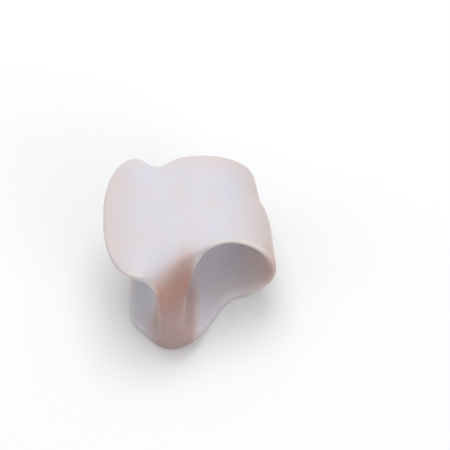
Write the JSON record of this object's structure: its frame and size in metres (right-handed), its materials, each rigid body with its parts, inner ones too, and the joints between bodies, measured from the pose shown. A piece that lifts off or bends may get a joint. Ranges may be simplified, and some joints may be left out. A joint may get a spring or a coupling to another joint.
{
  "type": "toe separator",
  "caption": "Soft gel toe separator: a loop for the second toe, a thick spacer, and a wing and lip that cradle the side of the big toe.",
  "frame": {"origin": "in the ground plane under the middle of the bounding box, with the flat sole at z = 0", "axes": "+X from the big toe's side to the third toe's side, +Y from the toe tips to the foot, +Z from sole to top; the loop's axis lies close to Y, turned 12.5 degrees in plan"},
  "size_m": [0.031, 0.0296, 0.0206],
  "materials": {
    "milky_gel": "satin"
  },
  "bodies": {
    "root": {"toe_separator": "milky_gel"}
  },
  "joints": []
}
